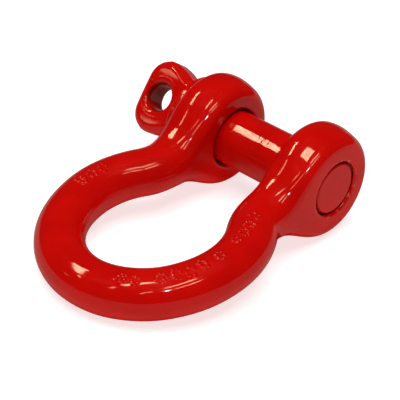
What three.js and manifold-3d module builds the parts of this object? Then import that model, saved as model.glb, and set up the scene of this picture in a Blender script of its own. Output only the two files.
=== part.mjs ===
// A screw-pin bow (anchor) shackle of the nominal 3/4 inch size, lying on a flat surface.
//
// It is made of two forgings: the bow, with a plain ear and a tapped ear, and the screw pin, with its
// eye, collar, plain shank and threaded end.
//
// Millimetres. Both forgings are drawn in the bow's own frame: the pin's axis is Y, the middle of the jaw
// is the origin, the bow runs to -X, the tapped ear is on the -Y side and the pin's eye on the +Y side.
// At the end the shackle is laid down, +Z up, on the rims of its ears and the underside of its crown.

import * as THREE from "three";
import { mergeVertices } from "three/addons/utils/BufferGeometryUtils.js";
import Module from "manifold-3d";

const wasm = await Module();
wasm.setup();

// ---- Driving dimensions ----

// The ears
const JAW_WIDTH = 32; // clear gap between the ears
const EAR_RADIUS = 22.4;
const EAR_THICKNESS = 19.2;
const EAR_SET_BACK = 0.5; // of the ear's middle from the pin's axis, towards the crown
const EAR_EDGE_RADIUS = 6.4; // rounding of an ear's two rims
const NECK_FILLET_RADIUS = 9; // where the leg opens out into the ear

// The bow
const BOW_INSIDE_WIDTH = 50;
const INSIDE_LENGTH = 76.6; // from the pin's surface to the inside of the crown
const LEG_WIDTH = 19.2; // section of a leg, in the plane of the bow
const LEG_HEIGHT = 18.6; // section of a leg, across the plane of the bow
const LEG_INSET = 0.5; // of a leg's inner side into the jaw
const CROWN_WIDTH = 19; // section at the crown, in the plane of the bow
const CROWN_HEIGHT = 18.2; // section at the crown, across the plane of the bow
const CROWN_STRETCH = 3.2; // how much longer than round the crown's end is
const BOW_WRAP = THREE.MathUtils.degToRad(34); // how far the bow turns in again past its widest place

// The pin
const PIN_DIAMETER = 22.4;
const PLAIN_HOLE_DIAMETER = 24.2;
const TAPPED_HOLE_DIAMETER = 22.2; // over the crests of its thread
const PIN_THREAD_DIAMETER = 21.6; // over the crests of its thread
const THREAD_PITCH = 2.82; // 9 threads to the inch
const THREAD_DEPTH = 1.2;
const TIP_CHAMFER = 0.8;
const TIP_RECESS = 0.6; // of the pin's end below the face of the tapped ear
const COLLAR_DIAMETER = 34.8;
const COLLAR_THICKNESS = 3.4;
const COLLAR_CHAMFER = 0.9;

// The pin's eye
const EYE_LENGTH = 26; // from the collar to the far end
const EYE_WIDTH = 30.4; // at the far end
const EYE_SHOULDER = 27.6; // width where the eye starts to draw in towards the collar
const EYE_THICKNESS = 12.8;
const EYE_WAIST = 23; // width beside the collar
const EYE_CORNER_RADIUS = 8.5;
const EYE_EDGE_RADIUS = 2.6;
const EYE_HOLE_DIAMETER = 11;
const EYE_HOLE_TO_END = 10;
const EYE_OFFSET = 1; // of the eye's middle to one side of the pin's axis
const EYE_TURN = THREE.MathUtils.degToRad(-48); // of the screwed-home eye about the pin's axis

const GAP = 0.3; // between the pin and the ear faces that it bears on
const HOLE_CHAMFER = 1;
const BURIED = 2; // how far a joined or cutting shape runs past its neighbour's face

// ---- Worked-out dimensions ----

const PIN_RADIUS = PIN_DIAMETER / 2;
const EAR_INNER = JAW_WIDTH / 2;
const EAR_OUTER = EAR_INNER + EAR_THICKNESS;
const EAR_MIDDLE = (EAR_INNER + EAR_OUTER) / 2;
const LEG_Y = EAR_INNER - LEG_INSET + LEG_WIDTH / 2; // of the leg's middle
const BOW_RADIUS = (BOW_INSIDE_WIDTH + CROWN_WIDTH) / 2; // of the bar's centreline
const CROWN_X = -(PIN_RADIUS + INSIDE_LENGTH + CROWN_WIDTH / 2); // the centreline's far end
const TIP_Y = TIP_RECESS - EAR_OUTER;
const COLLAR_Y = EAR_OUTER + GAP;
const EYE_Y = COLLAR_Y + COLLAR_THICKNESS;
const EYE_END_Y = EYE_Y + EYE_LENGTH;

// ---- Shapes ----

/** A closed geometry as a manifold-3d solid. */
function toSolid(geometry) {
  const bare = geometry.clone();
  bare.deleteAttribute("normal");
  bare.deleteAttribute("uv");
  const merged = mergeVertices(bare, 1e-4);
  return new wasm.Manifold(
    new wasm.Mesh({
      numProp: 3,
      vertProperties: merged.attributes.position.array,
      triVerts: new Uint32Array(merged.index.array),
    }),
  );
}

/** A manifold-3d solid as a geometry. */
function toGeometry(solid) {
  const mesh = solid.getMesh();
  const geometry = new THREE.BufferGeometry();
  geometry.setAttribute("position", new THREE.BufferAttribute(mesh.vertProperties, mesh.numProp));
  geometry.setIndex(new THREE.BufferAttribute(mesh.triVerts, 1));
  geometry.computeVertexNormals();
  return geometry;
}

/** A closed skin over rings of points, with the same number of points in each and a cap at either end. */
function loft(rings) {
  const around = rings[0].length;
  const lastRing = (rings.length - 1) * around;
  const index = [];
  for (let start = 0; start < lastRing; start += around) {
    for (let j = 0; j < around; j++) {
      const a = start + j;
      const b = start + ((j + 1) % around);
      index.push(a, b, a + around, b, b + around, a + around);
    }
  }
  for (let j = 1; j + 1 < around; j++) {
    index.push(0, j + 1, j);
    index.push(lastRing, lastRing + j, lastRing + j + 1);
  }
  const geometry = new THREE.BufferGeometry().setFromPoints(rings.flat());
  geometry.setIndex(index);
  return geometry;
}

/** Points along an arc of the XY plane about (cx, cy), both ends included. */
function arcPoints(cx, cy, radius, from, to, steps) {
  return Array.from({ length: steps + 1 }, (_, i) => {
    const angle = THREE.MathUtils.lerp(from, to, i / steps);
    return new THREE.Vector2(cx + radius * Math.cos(angle), cy + radius * Math.sin(angle));
  });
}

/** A shape turned about the pin's axis from pairs of radius and place along Y, from low Y to high Y. */
function turned(profile) {
  const points = profile.map(([radius, y]) => new THREE.Vector2(radius, y));
  return new THREE.LatheGeometry(points, 36);
}

/** The cutter for a hole along Y between two faces, which also chamfers it where it breaks out. */
function holeCutter(radius, lowY, highY) {
  const mouth = radius + HOLE_CHAMFER;
  return turned([
    [0, lowY - BURIED],
    [mouth, lowY - BURIED],
    [mouth, lowY],
    [radius, lowY + HOLE_CHAMFER],
    [radius, highY - HOLE_CHAMFER],
    [mouth, highY],
    [mouth, highY + BURIED],
    [0, highY + BURIED],
  ]);
}

/** An outline made solid across the given thickness, with its edges rounded. */
function roundedPlate(outline, thickness, edgeRadius, edgeSteps) {
  const geometry = new THREE.ExtrudeGeometry(outline, {
    depth: thickness - 2 * edgeRadius,
    bevelThickness: edgeRadius,
    bevelSize: edgeRadius,
    bevelOffset: -edgeRadius,
    bevelSegments: edgeSteps,
    steps: 1,
  });
  return geometry.translate(0, 0, edgeRadius - thickness / 2);
}

/** A helical ridge about the pin's axis whose section narrows from the root radius to the crest radius. */
function threadRidge(root, crest, lowY, highY) {
  const stepsPerTurn = 16;
  const steps = Math.round(((highY - lowY) / THREAD_PITCH) * stepsPerTurn);
  const halfFoot = THREAD_PITCH * 0.42;
  const halfCrest = THREAD_PITCH * 0.1;
  const rings = [];
  for (let i = 0; i <= steps; i++) {
    const turns = i / stepsPerTurn;
    const angle = turns * 2 * Math.PI;
    const y = lowY + turns * THREAD_PITCH;
    const corner = (radius, rise) =>
      new THREE.Vector3(radius * Math.sin(angle), y + rise, radius * Math.cos(angle));
    rings.push([
      corner(root, -halfFoot),
      corner(root, halfFoot),
      corner(crest, halfCrest),
      corner(crest, -halfCrest),
    ]);
  }
  return loft(rings);
}

// ---- The bow ----

/** The bar's centreline in the plane of the bow, from the ear at +Y round the crown to the ear at -Y. */
function bowCentreline() {
  const crownReach = BOW_RADIUS + CROWN_STRETCH;
  const bowX = CROWN_X + crownReach;
  const joinAngle = Math.PI / 2 - BOW_WRAP; // where the bow's round meets a leg's reverse bend
  const joinY = BOW_RADIUS * Math.sin(joinAngle);
  const bendRadius = (joinY - LEG_Y) / (1 - Math.sin(joinAngle));
  const bendX = bowX + (BOW_RADIUS + bendRadius) * Math.cos(joinAngle);
  const bendY = LEG_Y + bendRadius;
  const path = new THREE.Path();
  path.moveTo(-EAR_RADIUS / 2, LEG_Y);
  path.lineTo(bendX, LEG_Y);
  path.absarc(bendX, bendY, bendRadius, 1.5 * Math.PI, Math.PI + joinAngle, true);
  path.absarc(bowX, 0, BOW_RADIUS, joinAngle, Math.PI / 2, false);
  path.absellipse(bowX, 0, crownReach, BOW_RADIUS, Math.PI / 2, 1.5 * Math.PI, false);
  path.absarc(bowX, 0, BOW_RADIUS, 1.5 * Math.PI, 2 * Math.PI - joinAngle, false);
  path.absarc(bendX, -bendY, bendRadius, Math.PI - joinAngle, Math.PI / 2, true);
  path.lineTo(-EAR_RADIUS / 2, -LEG_Y);
  return path;
}

/** The bent bar: an oval section carried along the centreline, going from the legs' to the crown's. */
function bowBar() {
  const stations = 64;
  const sides = 18;
  const path = bowCentreline();
  const rings = [];
  for (let i = 0; i <= stations; i++) {
    const middle = path.getPoint(i / stations);
    const along = path.getTangent(i / stations);
    const towardsCrown = THREE.MathUtils.smoothstep(middle.x / CROWN_X, 0, 1);
    const halfWidth = THREE.MathUtils.lerp(LEG_WIDTH, CROWN_WIDTH, towardsCrown) / 2;
    const halfHeight = THREE.MathUtils.lerp(LEG_HEIGHT, CROWN_HEIGHT, towardsCrown) / 2;
    const ring = [];
    for (let j = 0; j < sides; j++) {
      const angle = (j / sides) * 2 * Math.PI;
      const across = halfWidth * Math.cos(angle);
      const up = halfHeight * Math.sin(angle);
      ring.push(new THREE.Vector3(middle.x - along.y * across, middle.y + along.x * across, up));
    }
    rings.push(ring);
  }
  return loft(rings);
}

/** One ear with its neck: a round disc that opens out of the leg through a fillet above and below. */
function ear(middleY) {
  const filletZ = LEG_HEIGHT / 2 + NECK_FILLET_RADIUS;
  const filletX = -Math.sqrt((EAR_RADIUS + NECK_FILLET_RADIUS) ** 2 - filletZ ** 2);
  const lean = Math.atan2(filletZ, -filletX); // of the line from the ear's middle to a fillet's centre
  const outline = new THREE.Shape([
    ...arcPoints(0, 0, EAR_RADIUS, lean - Math.PI, Math.PI - lean, 30),
    ...arcPoints(filletX, filletZ, NECK_FILLET_RADIUS, -lean, -Math.PI / 2, 4).slice(1),
    ...arcPoints(filletX, -filletZ, NECK_FILLET_RADIUS, Math.PI / 2, lean, 4).slice(0, -1),
  ]);
  return roundedPlate(outline, EAR_THICKNESS, EAR_EDGE_RADIUS, 4)
    .rotateX(Math.PI / 2)
    .translate(-EAR_SET_BACK, middleY, 0);
}

/** The cutter for the grooves of the tapped ear's thread. */
function tappedThread() {
  const crest = TAPPED_HOLE_DIAMETER / 2;
  const lowY = -EAR_OUTER - THREAD_PITCH;
  const highY = THREAD_PITCH - EAR_INNER;
  return threadRidge(crest - BURIED / 2, crest + THREAD_DEPTH, lowY, highY);
}

function bow() {
  const solid = toSolid(bowBar())
    .add(toSolid(ear(EAR_MIDDLE)))
    .add(toSolid(ear(-EAR_MIDDLE)))
    .subtract(toSolid(holeCutter(PLAIN_HOLE_DIAMETER / 2, EAR_INNER, EAR_OUTER)))
    .subtract(toSolid(holeCutter(TAPPED_HOLE_DIAMETER / 2, -EAR_OUTER, -EAR_INNER)))
    .subtract(toSolid(tappedThread()));
  return toGeometry(solid);
}

// ---- The screw pin ----

/** The eye: a thick lug in the plane of the pin's axis, with rounded corners and a hole for a bar. */
function eye() {
  const waist = EYE_WAIST / 2;
  const corner = EYE_CORNER_RADIUS;
  const shoulderX = EYE_SHOULDER / 2 - corner;
  const shoulderY = EYE_END_Y - EYE_HOLE_TO_END - 1;
  const cornerX = EYE_WIDTH / 2 - corner;
  const cornerY = EYE_END_Y - corner;
  const outline = new THREE.Shape([
    new THREE.Vector2(waist, EYE_Y - BURIED),
    ...arcPoints(shoulderX, shoulderY, corner, -Math.PI / 3, -Math.PI / 12, 3),
    ...arcPoints(cornerX, cornerY, corner, 0, Math.PI / 2, 5),
    ...arcPoints(-cornerX, cornerY, corner, Math.PI / 2, Math.PI, 5),
    ...arcPoints(-shoulderX, shoulderY, corner, (13 * Math.PI) / 12, (4 * Math.PI) / 3, 3),
    new THREE.Vector2(-waist, EYE_Y - BURIED),
  ]);
  const lug = roundedPlate(outline, EYE_THICKNESS, EYE_EDGE_RADIUS, 3);
  const hole = holeCutter(EYE_HOLE_DIAMETER / 2, -EYE_THICKNESS / 2, EYE_THICKNESS / 2)
    .rotateX(Math.PI / 2)
    .translate(0, EYE_END_Y - EYE_HOLE_TO_END, 0);
  const [placedLug, placedHole] = [lug, hole].map((shape) =>
    toSolid(shape.translate(EYE_OFFSET, 0, 0).rotateY(EYE_TURN)),
  );
  return placedLug.subtract(placedHole);
}

/** Collar, plain shank and the blank for the threaded end, turned in one. */
function shank() {
  const threadRoot = PIN_THREAD_DIAMETER / 2 - THREAD_DEPTH;
  const collarRadius = COLLAR_DIAMETER / 2;
  const runoutY = GAP - EAR_INNER;
  return turned([
    [0, TIP_Y],
    [threadRoot - TIP_CHAMFER, TIP_Y],
    [threadRoot, TIP_Y + TIP_CHAMFER],
    [threadRoot, runoutY],
    [PIN_RADIUS, runoutY + TIP_CHAMFER],
    [PIN_RADIUS, COLLAR_Y],
    [collarRadius - COLLAR_CHAMFER, COLLAR_Y],
    [collarRadius, COLLAR_Y + COLLAR_CHAMFER],
    [collarRadius, EYE_Y - COLLAR_CHAMFER],
    [collarRadius - COLLAR_CHAMFER, EYE_Y],
    [0, EYE_Y],
  ]);
}

/** The pin's own thread, chamfered at the tip. */
function pinThread() {
  const crest = PIN_THREAD_DIAMETER / 2;
  const root = crest - THREAD_DEPTH;
  const ridge = threadRidge(root - BURIED / 2, crest, TIP_Y - THREAD_PITCH, -EAR_INNER);
  const room = turned([
    [0, TIP_Y + TIP_CHAMFER],
    [root, TIP_Y + TIP_CHAMFER],
    [crest + TIP_CHAMFER, TIP_Y + TIP_CHAMFER + crest + TIP_CHAMFER - root],
    [crest + TIP_CHAMFER, -EAR_INNER],
    [0, -EAR_INNER],
  ]);
  return toSolid(ridge).intersect(toSolid(room));
}

function screwPin() {
  return toGeometry(toSolid(shank()).add(pinThread()).add(eye()));
}

// ---- The shackle, laid down ----

/** How far the bow leans from level, crown down, when it lies on its ears and its crown. */
function lyingAngle() {
  return Math.asin((EAR_RADIUS - CROWN_HEIGHT / 2) / -CROWN_X);
}

const paint = { color: 0xb80c06, roughness: 0.12, metalness: 0 };
const bowBody = new THREE.Mesh(bow(), new THREE.MeshStandardMaterial(paint));
bowBody.name = "bow_body";
const pinBody = new THREE.Mesh(screwPin(), new THREE.MeshStandardMaterial(paint));
pinBody.name = "screw_pin";

const laid = new THREE.Group();
laid.add(bowBody, pinBody);
laid.rotation.y = -lyingAngle();

const shackle = new THREE.Group();
shackle.add(laid);
const box = new THREE.Box3().setFromObject(laid, true);
const middle = box.getCenter(new THREE.Vector3());
laid.position.set(-middle.x, -middle.y, -box.min.z);

export default shackle;
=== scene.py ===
"""The looks of a screw pin bow shackle: two forgings under thick, glossy red paint.

Each forging's skin is a smooth field, below zero inside the steel, drawn in millimetres in the bow's own
frame: the pin's axis is Y, the middle of the jaw is the origin and the bow runs to -X. The field is turned
into a mesh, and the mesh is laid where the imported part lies.
"""

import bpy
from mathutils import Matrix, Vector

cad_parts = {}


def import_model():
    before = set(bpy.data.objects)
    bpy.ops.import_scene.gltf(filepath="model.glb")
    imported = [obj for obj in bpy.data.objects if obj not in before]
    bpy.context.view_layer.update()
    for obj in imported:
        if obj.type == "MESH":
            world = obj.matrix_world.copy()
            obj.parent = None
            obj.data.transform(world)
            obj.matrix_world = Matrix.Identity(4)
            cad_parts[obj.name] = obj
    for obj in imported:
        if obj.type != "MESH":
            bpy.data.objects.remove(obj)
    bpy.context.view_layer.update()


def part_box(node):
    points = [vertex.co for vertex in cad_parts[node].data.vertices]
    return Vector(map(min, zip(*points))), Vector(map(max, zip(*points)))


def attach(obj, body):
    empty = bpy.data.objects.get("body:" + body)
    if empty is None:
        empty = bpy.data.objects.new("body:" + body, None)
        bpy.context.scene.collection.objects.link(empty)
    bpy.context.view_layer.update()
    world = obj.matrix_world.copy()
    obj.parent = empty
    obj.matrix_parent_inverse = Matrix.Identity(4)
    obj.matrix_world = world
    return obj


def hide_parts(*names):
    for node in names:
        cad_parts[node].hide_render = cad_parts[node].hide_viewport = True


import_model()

import math

import bmesh
import bpy
import numpy as np
from mathutils import Matrix, Vector

# ---- The shackle's dimensions, in millimetres ----

JAW_WIDTH = 32.0
EAR_RADIUS = 22.4
EAR_THICKNESS = 19.2
EAR_SET_BACK = 0.5  # of the ear's middle from the pin's axis, towards the crown
EAR_CROWNING = 2.8  # the ear's round edge falls half of this from its middle to each face
EAR_TILT = 1.1
EAR_INNER_EDGE_RADIUS = 4.7
EAR_OUTER_EDGE_RADIUS = 4.4
NECK_BLEND = 10.0

BOW_INSIDE_WIDTH = 50.0
INSIDE_LENGTH = 76.6
LEG_WIDTH = 19.2
LEG_HEIGHT = 18.6
LEG_INSET = 0.5
CROWN_WIDTH = 19.0
CROWN_HEIGHT = 18.2
CROWN_STRETCH = 3.2
BOW_WRAP = math.radians(34.0)

PIN_RADIUS = 11.2
PLAIN_HOLE_RADIUS = 12.1
TAPPED_HOLE_RADIUS = 11.1
PIN_THREAD_RADIUS = 10.8
THREAD_PITCH = 2.82
THREAD_DEPTH = 1.2
TIP_RECESS = 0.6
COLLAR_RADIUS = 17.4
COLLAR_THICKNESS = 3.4

EYE_LENGTH = 26.0
EYE_WIDTH = 30.4
EYE_TAPER = 0.3
EYE_THICKNESS = 12.8
EYE_WAIST = 23.0
EYE_CORNER_RADIUS = 8.5
EYE_EDGE_RADIUS = 3.6
EYE_HOLE_RADIUS = 5.5
EYE_HOLE_TO_END = 10.0
EYE_TURN = math.radians(-48.0)
EYE_OFFSET = 1.0

GAP = 0.3

# The raised marks along the upper side of the bow, each a ring of small beads that spells nothing: the
# angle of each about the middle of the bow and its offset from the bar's centreline
MARKS = (
    (-56.0, 1.2), (-64.0, 0.3), (-72.0, 0.4), (-80.0, -0.6), (-96.0, 0.4), (-107.0, 0.6),
    (-115.0, 2.0), (-122.5, 1.0), (-130.5, 1.6), (-144.0, 2.2), (-152.0, 1.6),
    (99.5, 0.0), (91.0, -0.6), (82.0, -1.2),
)
MARK_LENGTH = 3.0  # along the bar
MARK_WIDTH = 4.0
BEAD_HEIGHT = 0.42
BEAD_RADIUS = 1.0
MARK_REACH = 3.4  # from its middle, past all of its beads

EAR_INNER = JAW_WIDTH / 2
EAR_OUTER = EAR_INNER + EAR_THICKNESS
EAR_MIDDLE = (EAR_INNER + EAR_OUTER) / 2
LEG_Y = EAR_INNER - LEG_INSET + LEG_WIDTH / 2
BOW_RADIUS = (BOW_INSIDE_WIDTH + CROWN_WIDTH) / 2
CROWN_X = -(PIN_RADIUS + INSIDE_LENGTH + CROWN_WIDTH / 2)
CROWN_REACH = BOW_RADIUS + CROWN_STRETCH
BOW_X = CROWN_X + CROWN_REACH
JOIN_ANGLE = math.pi / 2 - BOW_WRAP
BEND_RADIUS = (BOW_RADIUS * math.sin(JOIN_ANGLE) - LEG_Y) / (1 - math.sin(JOIN_ANGLE))
BEND_X = BOW_X + (BOW_RADIUS + BEND_RADIUS) * math.cos(JOIN_ANGLE)
BEND_Y = LEG_Y + BEND_RADIUS
COLLAR_Y = EAR_OUTER + GAP
EYE_Y = COLLAR_Y + COLLAR_THICKNESS
EYE_END_Y = EYE_Y + EYE_LENGTH
TIP_Y = TIP_RECESS - EAR_OUTER

MM = 0.001

# ---- Lighting, in metres ----

SOFT_BOX_SIZE = 1.6
SOFT_BOX_PLACE = (-0.2, -0.1, 1.6)
SOFT_BOX_BRIGHTNESS = 4.3
CEILING_HEIGHT = 1.5
WHITE_LAMP_SIZE = 0.12
WHITE_LAMP_PLACE = (-0.80, -1.02, CEILING_HEIGHT)
WHITE_LAMP_BRIGHTNESS = 60.0
WHITE = (1.0, 1.0, 1.0)
COOL = (0.95, 0.97, 1.0)
WARM = (1.0, 0.76, 0.48)
# Each ceiling lamp's place over the floor and its length and width, as shares of the ceiling's height,
# and its brightness. The first four are the tubes of one fitting.
CEILING_LAMPS = (
    (-0.27, 0.626, 0.52, 0.024, 26.0),
    (-0.27, 0.662, 0.52, 0.024, 26.0),
    (-0.27, 0.698, 0.52, 0.024, 26.0),
    (-0.27, 0.734, 0.52, 0.024, 26.0),
    (-0.25, 0.08, 0.36, 0.08, 17.0),
    (-0.20, -0.42, 0.40, 0.06, 15.0),
    (-0.20, -0.70, 0.40, 0.07, 12.0),
    (-0.80, 0.68, 0.24, 0.07, 9.0),
    (-0.80, 0.08, 0.24, 0.05, 9.0),
    (-0.80, -0.50, 0.24, 0.05, 9.0),
    (-1.62, 1.46, 0.24, 0.12, 4.0),
)


def laid_down():
    """The matrix from the bow's own frame, in millimetres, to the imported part's, in metres."""
    pin_low, pin_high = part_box("screw_pin")
    bow_low, bow_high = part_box("bow_body")
    lean = math.asin((EAR_RADIUS - CROWN_HEIGHT / 2) / -CROWN_X)
    origin = (pin_low + pin_high) / 2
    origin.y = (bow_low.y + bow_high.y) / 2
    origin.z = MM * (EAR_RADIUS + EAR_SET_BACK * math.sin(lean))
    return Matrix.Translation(origin) @ Matrix.Rotation(-lean, 4, "Y") @ Matrix.Scale(MM, 4)


# ---- Fields: below zero inside the steel, in millimetres ----


def smoothstep(value, low, high):
    share = np.clip((value - low) / (high - low), 0.0, 1.0)
    return share * share * (3 - 2 * share)


def between(low, high, share):
    return low + (high - low) * share


def joined(a, b, blend):
    """The union of two fields, with a fillet where they meet."""
    overlap = np.maximum(blend - np.abs(a - b), 0.0)
    return np.minimum(a, b) - overlap * overlap / (4 * blend)


def cut(a, b, blend):
    """Field a without field b, with the edge between them rounded."""
    return -joined(-a, b, blend)


def rounded_corner(side, face, radius):
    """The inside of two faces at right angles, with the corner between them rounded to the radius."""
    u = side + radius
    v = face + radius
    corner = np.hypot(np.maximum(u, 0.0), np.maximum(v, 0.0))
    return corner + np.minimum(np.maximum(u, v), 0.0) - radius


def unevenness(x, y, z):
    """The slow waves that the dies and the thick paint leave in a forging's skin."""
    long_wave = np.sin(x / 5.1 + 0.7) * np.sin(y / 4.3 + 1.9) * np.sin(z / 4.7 + 0.4)
    short_wave = np.sin(x / 2.3 + y / 3.1) * np.sin(y / 2.6 - z / 2.2 + 1.1)
    return 0.05 * long_wave + 0.015 * short_wave


def thread_height(x, y, z):
    """How high the thread stands at a point, from 0 at its root to 1 at its crest."""
    turns = np.arctan2(x, z) / (2 * math.pi)
    phase = (y / THREAD_PITCH - turns) % 1.0
    flank = np.abs(phase - 0.5) * 2
    return smoothstep(flank, 0.15, 0.85)


def off_centreline(x, y):
    """How far a point of the bow's plane is from the bar's centreline, positive outwards."""
    y = np.abs(y)
    leg = y - LEG_Y
    bend = BEND_RADIUS - np.hypot(x - BEND_X, y - BEND_Y)
    bow = np.hypot(x - BOW_X, y) - BOW_RADIUS
    stretch = CROWN_REACH / BOW_RADIUS
    squeezed = (x - BOW_X) / stretch
    reach = np.maximum(np.hypot(squeezed, y), 1e-6)
    slope = np.hypot(squeezed / stretch, y) / reach
    crown = (reach - BOW_RADIUS) / np.maximum(slope, 0.5)
    angle = np.arctan2(y, x - BOW_X)
    curved = np.where(x < BOW_X, crown, bow)
    return np.where(x > BEND_X, leg, np.where(angle < JOIN_ANGLE, bend, curved))


def bow_blank(x, y, z):
    """The bow before its holes: a bar of round section that opens out into an ear at each end."""
    ear = smoothstep(x, -34.0, -15.0)
    crown = smoothstep(x / CROWN_X, 0.0, 1.0)
    half_height = between(LEG_HEIGHT, CROWN_HEIGHT, crown) / 2
    half_width = between(between(LEG_WIDTH, CROWN_WIDTH, crown), EAR_THICKNESS, ear) / 2
    across = between(off_centreline(x, y), np.abs(y) - EAR_MIDDLE, ear) * half_height / half_width
    edge = between(EAR_INNER_EDGE_RADIUS, EAR_OUTER_EDGE_RADIUS, smoothstep(across, -3.0, 3.0))
    out = across / half_height
    tilt = EAR_TILT * out * np.sign(y) * np.maximum(1 - out * out, 0.0)
    crowning = EAR_CROWNING * out * out * np.maximum(1 - 0.5 * out * out, 0.5) - tilt
    disc = np.hypot(x + EAR_SET_BACK, z) - EAR_RADIUS + crowning
    strip = np.maximum(np.abs(z) - half_height, x)
    outline = joined(disc, strip, NECK_BLEND)
    return rounded_corner(outline, np.abs(across) - half_height, between(half_height, edge, ear))


def mark_centres():
    """Where each raised mark's middle is in the plane of the bow, and which way the bar runs there."""
    places = []
    for angle, offset in MARKS:
        turn = math.radians(angle)
        radius = BOW_RADIUS + offset
        stretch = CROWN_REACH / BOW_RADIUS if math.cos(turn) < 0 else 1.0
        x = BOW_X + radius * math.cos(turn) * stretch
        y = radius * math.sin(turn)
        places.append((x, y, turn + math.pi / 2))
    return places


def beads(number):
    """The places of a mark's beads along and across the bar: five, six or seven in an uneven ring."""
    count = 5 + number % 3
    places = []
    for bead in range(count):
        turn = 2 * math.pi * bead / count + 0.9 * number
        reach = 1.0 + 0.15 * math.sin(5.0 * turn + number)
        along = MARK_LENGTH / 2 * reach * math.cos(turn)
        across = MARK_WIDTH / 2 * reach * math.sin(turn)
        places.append((along, across))
    return places


def mark_height(x, y, z):
    """How high the marks stand on the upper side of the bar."""
    height = np.zeros_like(x)
    for number, (middle_x, middle_y, heading) in enumerate(mark_centres()):
        near = (z > 0) & (np.hypot(x - middle_x, y - middle_y) < MARK_REACH)
        along = (x[near] - middle_x) * math.cos(heading) + (y[near] - middle_y) * math.sin(heading)
        across = (y[near] - middle_y) * math.cos(heading) - (x[near] - middle_x) * math.sin(heading)
        distance = np.full(along.shape, MARK_REACH)
        for bead_along, bead_across in beads(number):
            distance = np.minimum(distance, np.hypot(along - bead_along, across - bead_across))
        height[near] = BEAD_HEIGHT * smoothstep(-distance, -BEAD_RADIUS, -0.2)
    return height


def bow_field(x, y, z):
    """The bow with a plain hole through one ear and a threaded hole through the other."""
    radius = np.hypot(x, z)
    started = smoothstep(y, -EAR_OUTER + 0.8, -EAR_OUTER + 2.0)
    tapped = TAPPED_HOLE_RADIUS + THREAD_DEPTH * thread_height(x, y, z) * started
    hole = radius - np.where(y > 0, PLAIN_HOLE_RADIUS, tapped)
    blank = bow_blank(x, y, z) + unevenness(x, y, z)
    return cut(blank, hole, np.where(y > 0, 1.6, 1.5))


def marked_bow_field(x, y, z):
    """The bow with its raised marks."""
    return bow_field(x, y, z) - mark_height(x, y, z)


def pin_field(x, y, z):
    """The pin from its threaded end, through its shank and collar, to its eye."""
    radius = np.hypot(x, z)
    root = PIN_THREAD_RADIUS - THREAD_DEPTH
    threaded = root + THREAD_DEPTH * thread_height(x, y, z)
    threaded = between(PIN_THREAD_RADIUS - 0.5, threaded, smoothstep(y, TIP_Y + 0.8, TIP_Y + 2.0))
    end = rounded_corner(radius - threaded, np.maximum(TIP_Y - y, y), 0.9)
    shank_low = 1.3 - EAR_INNER
    shank = rounded_corner(radius - PIN_RADIUS, np.maximum(shank_low - y, y - COLLAR_Y - 1.0), 0.8)
    collar_middle = COLLAR_Y + COLLAR_THICKNESS / 2
    collar = rounded_corner(
        radius - COLLAR_RADIUS, np.abs(y - collar_middle) - COLLAR_THICKNESS / 2, 0.9
    )
    body = joined(joined(end, shank, 0.6), collar, 0.8)
    return joined(body, eye_field(x, y, z), 3.0)


def eye_field(x, y, z):
    """The holed lug beyond the collar, in the plane of the pin's axis."""
    u = np.abs(x * math.cos(EYE_TURN) - z * math.sin(EYE_TURN) - EYE_OFFSET)
    through = x * math.sin(EYE_TURN) + z * math.cos(EYE_TURN)
    hole_y = EYE_END_Y - EYE_HOLE_TO_END
    head_low = EYE_Y + 5.0
    head_middle = (head_low + EYE_END_Y) / 2
    side = u - EYE_WIDTH / 2 + EYE_TAPER * np.maximum(hole_y - y, 0.0)
    end = np.abs(y - head_middle) - (EYE_END_Y - head_low) / 2
    head = rounded_corner(side, end, EYE_CORNER_RADIUS)
    neck = np.maximum(u - EYE_WAIST / 2, np.maximum(EYE_Y - 1.0 - y, y - head_middle))
    outline = joined(head, neck, 6.0)
    swell = 0.12 * np.cos(u * math.pi / 10)
    lug = rounded_corner(outline, np.abs(through) - EYE_THICKNESS / 2 - swell, EYE_EDGE_RADIUS)
    hole = np.hypot(u, y - hole_y) - EYE_HOLE_RADIUS
    return cut(lug, hole, 3.2)


# ---- From a field to a mesh ----


def sampled(field, axes):
    """The field on a grid, worked out slab by slab."""
    slabs = []
    for xs in np.array_split(axes[0], max(1, len(axes[0]) // 16)):
        slabs.append(field(*np.meshgrid(xs, axes[1], axes[2], indexing="ij")))
    return np.concatenate(slabs)


def crossing_points(values, cells, axes, cell):
    """The middle of the places where the surface crosses each cell's edges."""
    total = np.zeros((len(cells), 3))
    count = np.zeros(len(cells))
    for axis in range(3):
        others = [a for a in range(3) if a != axis]
        for corner in range(4):
            start = cells.copy()
            start[:, others[0]] += corner % 2
            start[:, others[1]] += corner // 2
            end = start.copy()
            end[:, axis] += 1
            low = values[tuple(start.T)]
            high = values[tuple(end.T)]
            crossed = (low < 0) != (high < 0)
            share = np.where(crossed, low / np.where(crossed, low - high, 1.0), 0.0)
            place = start.astype(float)
            place[:, axis] += share
            total += place * crossed[:, None]
            count += crossed
    origin = np.array([axis[0] for axis in axes])
    return origin + cell * total / count[:, None]


def surface_quads(inside, number):
    """One quad round each grid edge that the surface crosses, facing out."""
    quads = []
    for axis in range(3):
        second = (axis + 1) % 3
        third = (axis + 2) % 3
        here = [slice(None)] * 3
        here[axis] = slice(0, -1)
        there = [slice(None)] * 3
        there[axis] = slice(1, None)
        starts = np.argwhere(inside[tuple(here)] != inside[tuple(there)])
        corners = []
        for back_second, back_third in ((1, 1), (0, 1), (0, 0), (1, 0)):
            around = starts.copy()
            around[:, second] -= back_second
            around[:, third] -= back_third
            corners.append(number[tuple(around.T)])
        found = np.stack(corners, axis=1)
        inward = ~inside[tuple(starts.T)]
        found[inward] = found[inward][:, ::-1]
        quads.append(found)
    return np.concatenate(quads)


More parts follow.
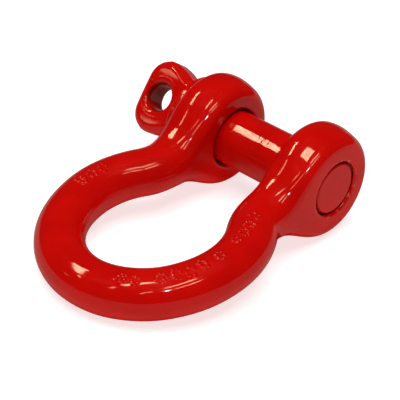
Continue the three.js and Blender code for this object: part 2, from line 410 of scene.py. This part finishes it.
def slope_of(field, points):
    step = 0.01
    slope = np.empty_like(points)
    for axis in range(3):
        offset = np.zeros(3)
        offset[axis] = step
        slope[:, axis] = field(*(points + offset).T) - field(*(points - offset).T)
    return slope / (2 * step)


def settled(field, points, rounds=4):
    """The points moved square on to the surface."""
    for _ in range(rounds):
        slope = slope_of(field, points)
        steepness = np.maximum((slope * slope).sum(axis=1), 1e-3)
        move = slope * (field(*points.T) / steepness)[:, None]
        length = np.linalg.norm(move, axis=1, keepdims=True)
        points = points - move * np.minimum(1.0, 0.4 / np.maximum(length, 1e-9))
    return points


def evened(field, points, quads, rounds=3):
    """The points spread evenly over the surface."""
    starts = quads.ravel()
    ends = np.roll(quads, -1, axis=1).ravel()
    pairs = np.concatenate([np.stack([starts, ends]), np.stack([ends, starts])], axis=1)
    count = np.bincount(pairs[0], minlength=len(points))[:, None]
    for _ in range(rounds):
        sums = [np.bincount(pairs[0], points[pairs[1], axis], len(points)) for axis in range(3)]
        points = settled(field, between(points, np.stack(sums, axis=1) / count, 0.5), 2)
    return points


def refined(points, quads, spots, reach, cuts):
    """The mesh with the faces round the given spots of its upper side cut up finer."""
    mesh = bmesh.new()
    vertices = [mesh.verts.new(point) for point in points]
    faces = [mesh.faces.new([vertices[i] for i in quad]) for quad in quads]
    middles = points[quads].mean(axis=1)
    near = np.zeros(len(quads), bool)
    for x, y in spots:
        near |= (middles[:, 2] > 0) & (np.hypot(middles[:, 0] - x, middles[:, 1] - y) < reach)
    edges = {edge for number in np.flatnonzero(near) for edge in faces[number].edges}
    ordered = [edge for edge in mesh.edges if edge in edges]
    bmesh.ops.subdivide_edges(mesh, edges=ordered, cuts=cuts, use_grid_fill=True)
    mesh.verts.index_update()
    polygons = [[vertex.index for vertex in face.verts] for face in mesh.faces]
    positions = np.array([vertex.co[:] for vertex in mesh.verts])
    mesh.free()
    return positions, polygons


def skin(name, field, low, high, cell, material, body, marked_field=None):
    """A mesh of the field's surface inside a box, riding on a body."""
    axes = [np.arange(low[axis], high[axis] + cell, cell) for axis in range(3)]
    values = sampled(field, axes)
    inside = values < 0
    count = np.zeros([size - 1 for size in inside.shape], int)
    for corner in np.ndindex(2, 2, 2):
        count += inside[tuple(slice(c, c - 1 or None) for c in corner)]
    cells = np.argwhere((count > 0) & (count < 8))
    number = np.full(count.shape, -1)
    number[tuple(cells.T)] = np.arange(len(cells))
    quads = surface_quads(inside, number)
    points = settled(field, crossing_points(values, cells, axes, cell))
    points = settled(field, evened(field, points, quads))
    if marked_field:
        spots = [(x, y) for x, y, _ in mark_centres()]
        points, quads = refined(points, quads, spots, MARK_REACH + 0.8, 3)
        field = marked_field
        points = settled(field, points, 6)
    mesh = bpy.data.meshes.new(name)
    mesh.from_pydata(points, [], quads)
    slope = slope_of(field, points)
    mesh.shade_smooth()
    mesh.normals_split_custom_set_from_vertices(slope / np.linalg.norm(slope, axis=1, keepdims=True))
    mesh.transform(laid_down())
    mesh.materials.append(material)
    piece = bpy.data.objects.new(name, mesh)
    bpy.context.scene.collection.objects.link(piece)
    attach(piece, body)
    return piece


# ---- Materials ----


def noise(nodes, links, place, scale, detail):
    texture = nodes.new("ShaderNodeTexNoise")
    texture.inputs["Scale"].default_value = scale
    texture.inputs["Detail"].default_value = detail
    links.new(place, texture.inputs["Vector"])
    return texture.outputs["Fac"]


def ranged(nodes, links, value, from_low, from_high, to_low, to_high):
    """A value eased from one range into another."""
    span = nodes.new("ShaderNodeMapRange")
    span.interpolation_type = "SMOOTHSTEP"
    span.inputs["From Min"].default_value = from_low
    span.inputs["From Max"].default_value = from_high
    span.inputs["To Min"].default_value = to_low
    span.inputs["To Max"].default_value = to_high
    links.new(value, span.inputs["Value"])
    return span.outputs["Result"]


def product(nodes, links, factors):
    """Several masks multiplied together."""
    result = factors[0]
    for factor in factors[1:]:
        multiply = nodes.new("ShaderNodeMath")
        multiply.operation = "MULTIPLY"
        links.new(result, multiply.inputs[0])
        links.new(factor, multiply.inputs[1])
        result = multiply.outputs["Value"]
    return result


def mixed(nodes, links, share, first, second):
    """A colour socket blended towards a plain colour, through the mix node's colour sockets, 6, 7 and 2."""
    mix = nodes.new("ShaderNodeMix")
    mix.data_type = "RGBA"
    links.new(share, mix.inputs["Factor"])
    links.new(first, mix.inputs[6])
    mix.inputs[7].default_value = second
    return mix.outputs[2]


def from_axis(nodes, links, place, point, direction):
    """How far a place is from the line through a point along a direction of unit length."""
    away = nodes.new("ShaderNodeVectorMath")
    away.operation = "SUBTRACT"
    links.new(place, away.inputs[0])
    away.inputs[1].default_value = point
    cross = nodes.new("ShaderNodeVectorMath")
    cross.operation = "CROSS_PRODUCT"
    links.new(away.outputs["Vector"], cross.inputs[0])
    cross.inputs[1].default_value = direction
    length = nodes.new("ShaderNodeVectorMath")
    length.operation = "LENGTH"
    links.new(cross.outputs["Vector"], length.inputs[0])
    return length.outputs["Value"]


def chips_round_the_tip(nodes, links, place):
    """Specks on the tapped ear's outer face, where screwing the pin in has chipped the paint."""
    parts = nodes.new("ShaderNodeSeparateXYZ")
    links.new(place, parts.inputs["Vector"])
    laid = laid_down()
    face = (laid @ Vector((0, -EAR_OUTER, 0))).y
    distance = from_axis(nodes, links, place, laid.translation, (0, 1, 0))
    return product(nodes, links, [
        ranged(nodes, links, distance, 0.0114, 0.0124, 1, 0),
        ranged(nodes, links, parts.outputs["Y"], face + 0.0006, face + 0.0014, 1, 0),
        ranged(nodes, links, noise(nodes, links, place, 420.0, 3.0), 0.57, 0.64, 0, 1),
    ])


def shade_painted_in_eye_hole(nodes, links, place):
    """The inside of the eye's hole, darkened towards a deep brown-red as painted shade."""
    laid = laid_down()
    sideways = Vector((math.cos(EYE_TURN), 0, -math.sin(EYE_TURN)))
    middle = EYE_OFFSET * sideways + Vector((0, EYE_END_Y - EYE_HOLE_TO_END, 0))
    direction = laid.to_3x3() @ Vector((math.sin(EYE_TURN), 0, math.cos(EYE_TURN)))
    distance = from_axis(nodes, links, place, laid @ middle, direction.normalized())
    # Painted shade: the paint is darkened over the hole's inside and fades out towards its mouth.
    return product(nodes, links, [
        ranged(nodes, links, distance, 0.0056, 0.0068, 1, 0),
        ranged(nodes, links, noise(nodes, links, place, 200.0, 3.0), 0.3, 0.6, 0.7, 1),
    ])


def paint(name, wear_and_shade, wear_and_shade_colour):
    """Thick red gloss paint with an orange-peel skin, a little deeper in places, and mixed in one place
    towards a second colour: chipped paint on the bow, painted shade in the pin's eye hole.
    """
    material = bpy.data.materials.new(name)
    material.use_nodes = True
    nodes = material.node_tree.nodes
    links = material.node_tree.links
    shader = nodes["Principled BSDF"]
    shader.inputs["IOR"].default_value = 1.5
    place = nodes.new("ShaderNodeTexCoord").outputs["Object"]
    ramp = nodes.new("ShaderNodeValToRGB")
    ramp.color_ramp.elements[0].position = 0.3
    ramp.color_ramp.elements[0].color = (0.51, 0.0018, 0.0008, 1)
    ramp.color_ramp.elements[1].position = 0.7
    ramp.color_ramp.elements[1].color = (0.60, 0.0030, 0.0012, 1)
    links.new(noise(nodes, links, place, 70.0, 4.0), ramp.inputs["Fac"])
    # On the bow this mask mixes in chipped paint; on the pin it mixes in painted shade inside the eye's hole.
    wear_and_shade_share = wear_and_shade(nodes, links, place)
    colour = mixed(nodes, links, wear_and_shade_share, ramp.outputs["Color"], wear_and_shade_colour)
    links.new(colour, shader.inputs["Base Color"])
    haze = noise(nodes, links, place, 160.0, 5.0)
    links.new(ranged(nodes, links, haze, 0.35, 0.75, 0.05, 0.10), shader.inputs["Roughness"])
    peel = nodes.new("ShaderNodeBump")
    peel.inputs["Strength"].default_value = 0.3
    peel.inputs["Distance"].default_value = 0.00002
    links.new(noise(nodes, links, place, 330.0, 1.0), peel.inputs["Height"])
    links.new(peel.outputs["Normal"], shader.inputs["Normal"])
    return material


# ---- Stage ----


def world():
    """A room that's dark above, so that the paint only mirrors the lamps and the floor."""
    scene_world = bpy.data.worlds.new("room")
    scene_world.use_nodes = True
    background = scene_world.node_tree.nodes["Background"]
    background.inputs["Color"].default_value = (1, 1, 1, 1)
    background.inputs["Strength"].default_value = 0.02
    bpy.context.scene.world = scene_world


def floor():
    """A white floor, which mirrored rays see as a plain grey so that the paint isn't washed out."""
    mesh = bpy.data.meshes.new("floor")
    half = 3.0
    corners = [(-half, -half, 0), (half, -half, 0), (half, half, 0), (-half, half, 0)]
    mesh.from_pydata(corners, [], [(0, 1, 2, 3)])
    material = bpy.data.materials.new("floor")
    material.use_nodes = True
    nodes = material.node_tree.nodes
    links = material.node_tree.links
    white = nodes["Principled BSDF"]
    white.inputs["Base Color"].default_value = (0.58, 0.58, 0.58, 1)
    white.inputs["Roughness"].default_value = 0.9
    white.inputs["Specular IOR Level"].default_value = 0.0
    white.inputs["Emission Color"].default_value = (1, 1, 1, 1)
    white.inputs["Emission Strength"].default_value = 0.72
    grey = nodes.new("ShaderNodeBsdfDiffuse")
    grey.inputs["Color"].default_value = (0.31, 0.28, 0.25, 1)
    seen = nodes.new("ShaderNodeMixShader")
    links.new(nodes.new("ShaderNodeLightPath").outputs["Is Glossy Ray"], seen.inputs["Fac"])
    links.new(white.outputs["BSDF"], seen.inputs[1])
    links.new(grey.outputs["BSDF"], seen.inputs[2])
    links.new(seen.outputs["Shader"], nodes["Material Output"].inputs["Surface"])
    mesh.materials.append(material)
    piece = bpy.data.objects.new("floor", mesh)
    bpy.context.scene.collection.objects.link(piece)


def area_light(name, place, size, brightness, colour):
    """A rectangular lamp that faces straight down."""
    light = bpy.data.lights.new(name, "AREA")
    light.shape = "RECTANGLE"
    light.size, light.size_y = size
    light.energy = brightness * math.pi * size[0] * size[1]
    light.color = colour
    lamp = bpy.data.objects.new(name, light)
    lamp.location = place
    bpy.context.scene.collection.objects.link(lamp)
    return lamp


def lighting():
    """An even soft light from above, and the ceiling lamps and the small white one that the paint mirrors."""
    soft_size = (SOFT_BOX_SIZE, SOFT_BOX_SIZE)
    soft_box = area_light("soft_box", SOFT_BOX_PLACE, soft_size, SOFT_BOX_BRIGHTNESS, WHITE)
    soft_box.visible_glossy = False
    for number, (x, y, length, width, brightness) in enumerate(CEILING_LAMPS):
        place = (x * CEILING_HEIGHT, y * CEILING_HEIGHT, CEILING_HEIGHT)
        size = (length * CEILING_HEIGHT, width * CEILING_HEIGHT)
        lamp = area_light(f"ceiling_lamp_{number}", place, size, brightness, WARM)
        lamp.visible_diffuse = False
    white_size = (WHITE_LAMP_SIZE, WHITE_LAMP_SIZE)
    white_lamp = area_light("white_lamp", WHITE_LAMP_PLACE, white_size, WHITE_LAMP_BRIGHTNESS, COOL)
    white_lamp.visible_diffuse = False


def camera():
    """A long lens that looks down over the crown's corner at the pin's threaded end."""
    azimuth = math.radians(-48.38)
    elevation = math.radians(32.72)
    roll = math.radians(3.44)
    distance = 0.5439
    aim = Vector((0.0046, -0.0107, 0.0172))
    level_reach = math.cos(elevation)
    back = Vector((
        math.sin(azimuth) * level_reach, -math.cos(azimuth) * level_reach, math.sin(elevation)
    ))
    level = Vector((math.cos(azimuth), math.sin(azimuth), 0))
    upright = back.cross(level)
    right = math.cos(roll) * level + math.sin(roll) * upright
    lens = bpy.data.cameras.new("camera")
    lens.lens = 130.5
    lens.clip_start = 0.01
    eye = bpy.data.objects.new("camera", lens)
    eye.matrix_world = Matrix((right, back.cross(right), back)).transposed().to_4x4()
    eye.location = aim + back * distance
    bpy.context.scene.collection.objects.link(eye)
    bpy.context.scene.camera = eye


bow_paint = paint("bow_paint", chips_round_the_tip, (0.48, 0.20, 0.12, 1))
bow = skin(
    "bow_skin", bow_field, (-109, -46, -24.5), (24.5, 46, 24.5), 0.75, bow_paint, "bow",
    marked_bow_field,
)
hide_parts("bow_body")
# The pin's paint goes deep brown-red inside the eye's hole: painted shade.
pin_paint = paint("pin_paint", shade_painted_in_eye_hole, (0.20, 0.004, 0.001, 1))
pin = skin("pin_skin", pin_field, (-19, -36.5, -19), (19, 66.5, 19), 0.55, pin_paint, "pin")
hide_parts("screw_pin")

world()
floor()
lighting()
camera()
bpy.context.scene.view_settings.view_transform = "Standard"
